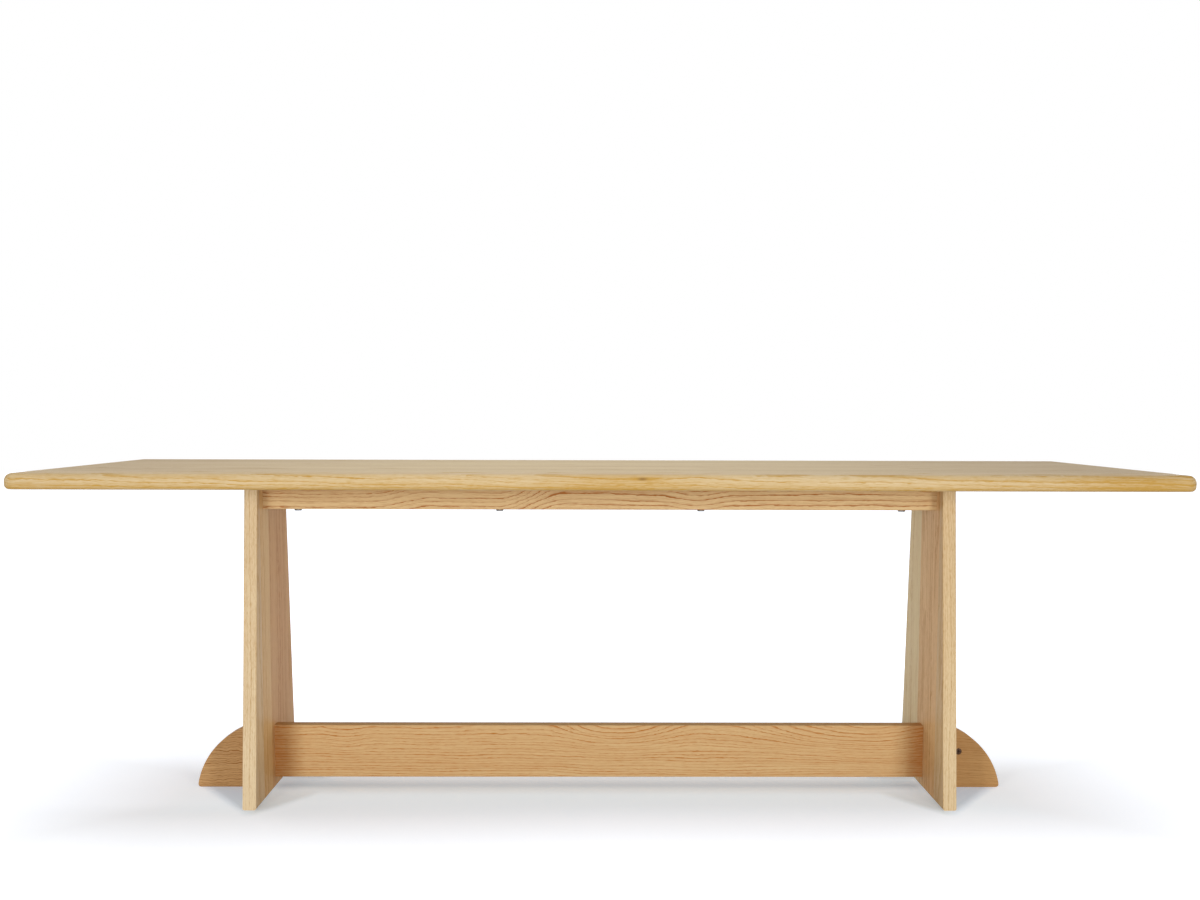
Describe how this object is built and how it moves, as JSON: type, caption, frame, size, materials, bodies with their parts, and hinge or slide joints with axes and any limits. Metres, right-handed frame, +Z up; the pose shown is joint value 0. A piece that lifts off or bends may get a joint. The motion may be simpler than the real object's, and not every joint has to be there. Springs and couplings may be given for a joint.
{
  "type": "trestle dining table",
  "caption": "Long solid-oak dining table: round-edged stave top on two panel legs that widen to the floor, with rails, a low stretcher and rounded feet.",
  "frame": {"origin": "on the floor, under the middle of the tabletop", "axes": "+X along the table towards its right end as seen from the front, +Y from the front to the back, +Z up"},
  "size_m": [2.4, 1, 0.75],
  "materials": {
    "oak": "satin clear lacquer",
    "beech": "bare, ribbed",
    "dark_steel": "dark plated",
    "zinc": "zinc plated"
  },
  "bodies": {
    "root": {"foot_cams": "zinc", "front_rail": "oak", "left_foot": "oak", "left_leg_stave_1": "oak", "left_leg_stave_2": "oak", "left_leg_stave_3": "oak", "left_leg_stave_4": "oak", "left_leg_stave_5": "oak", "leg_inserts": "zinc", "rail_bolts": "zinc", "rail_cams": "zinc", "rail_dowels": "beech", "rear_rail": "oak", "right_foot": "oak", "right_leg_stave_1": "oak", "right_leg_stave_2": "oak", "right_leg_stave_3": "oak", "right_leg_stave_4": "oak", "right_leg_stave_5": "oak", "stretcher": "oak", "stretcher_bolts": "zinc", "stretcher_cams": "zinc", "stretcher_dowels": "beech", "top_bolts": "dark_steel", "top_inserts": "zinc", "top_stave_1": "oak", "top_stave_2": "oak", "top_stave_3": "oak", "top_stave_4": "oak", "top_stave_5": "oak", "top_stave_6": "oak", "top_stave_7": "oak", "top_stave_8": "oak", "top_stave_9": "oak"}
  },
  "joints": []
}
